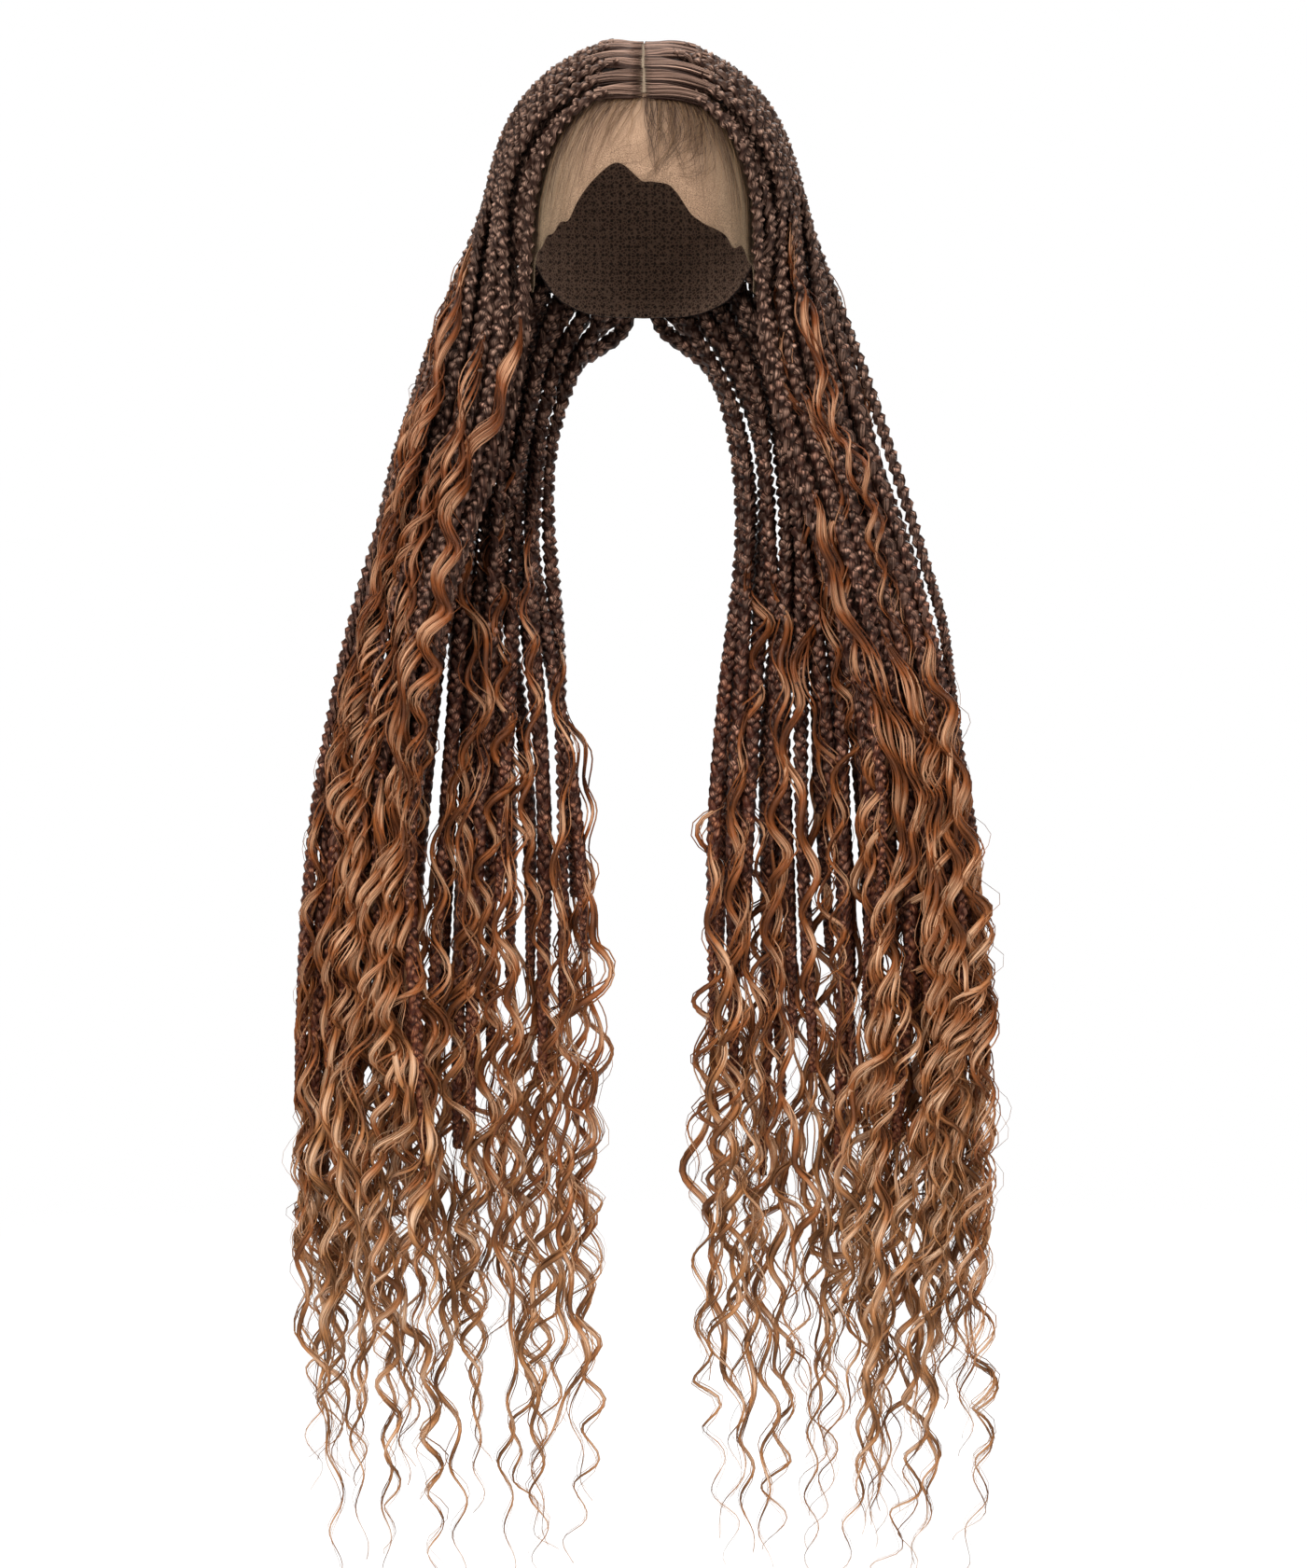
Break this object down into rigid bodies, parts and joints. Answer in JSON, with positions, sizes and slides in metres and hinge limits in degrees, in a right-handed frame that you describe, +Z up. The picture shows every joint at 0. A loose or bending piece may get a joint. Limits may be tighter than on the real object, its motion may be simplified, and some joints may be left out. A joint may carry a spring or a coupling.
{
  "type": "braid wig",
  "caption": "Long lace-front wig of dark braids that open into copper curls, parted in the middle and brought forward in two curtains.",
  "frame": {"origin": "top of the head, where the inside of the cap rests on it, in the middle of the parting", "axes": "+Z up, -Y the way the face looks, +X to the wearer's left"},
  "size_m": [0.4264, 0.2428, 0.9582],
  "materials": {
    "cap_net": "matt black net",
    "lace_net": "sheer tan lace",
    "parting_net": "pale beige lace",
    "hair": "glossy synthetic hair, dark brown at the root and copper at the ends"
  },
  "bodies": {
    "root": {"wig_cap": "cap_net", "lace_front": "lace_net", "parting_strip": "parting_net", "braid_left_upper_01": "hair", "braid_left_upper_02": "hair", "braid_left_upper_03": "hair", "braid_left_upper_04": "hair", "braid_left_upper_05": "hair", "braid_left_upper_06": "hair", "braid_left_upper_07": "hair", "braid_left_upper_08": "hair", "braid_left_upper_09": "hair", "braid_left_upper_10": "hair", "braid_left_upper_11": "hair", "braid_left_upper_12": "hair", "braid_left_lower_01": "hair", "braid_left_lower_02": "hair", "braid_left_lower_03": "hair", "braid_left_lower_04": "hair", "braid_left_lower_05": "hair", "braid_left_lower_06": "hair", "braid_left_lower_07": "hair", "braid_left_lower_08": "hair", "braid_left_lower_09": "hair", "braid_left_lower_10": "hair", "braid_left_lower_11": "hair", "braid_left_lower_12": "hair", "braid_right_upper_01": "hair", "braid_right_upper_02": "hair", "braid_right_upper_03": "hair", "braid_right_upper_04": "hair", "braid_right_upper_05": "hair", "braid_right_upper_06": "hair", "braid_right_upper_07": "hair", "braid_right_upper_08": "hair", "braid_right_upper_09": "hair", "braid_right_upper_10": "hair", "braid_right_upper_11": "hair", "braid_right_upper_12": "hair", "braid_right_lower_01": "hair", "braid_right_lower_02": "hair", "braid_right_lower_03": "hair", "braid_right_lower_04": "hair", "braid_right_lower_05": "hair", "braid_right_lower_06": "hair", "braid_right_lower_07": "hair", "braid_right_lower_08": "hair", "braid_right_lower_09": "hair", "braid_right_lower_10": "hair", "braid_right_lower_11": "hair", "braid_right_lower_12": "hair"}
  },
  "joints": []
}
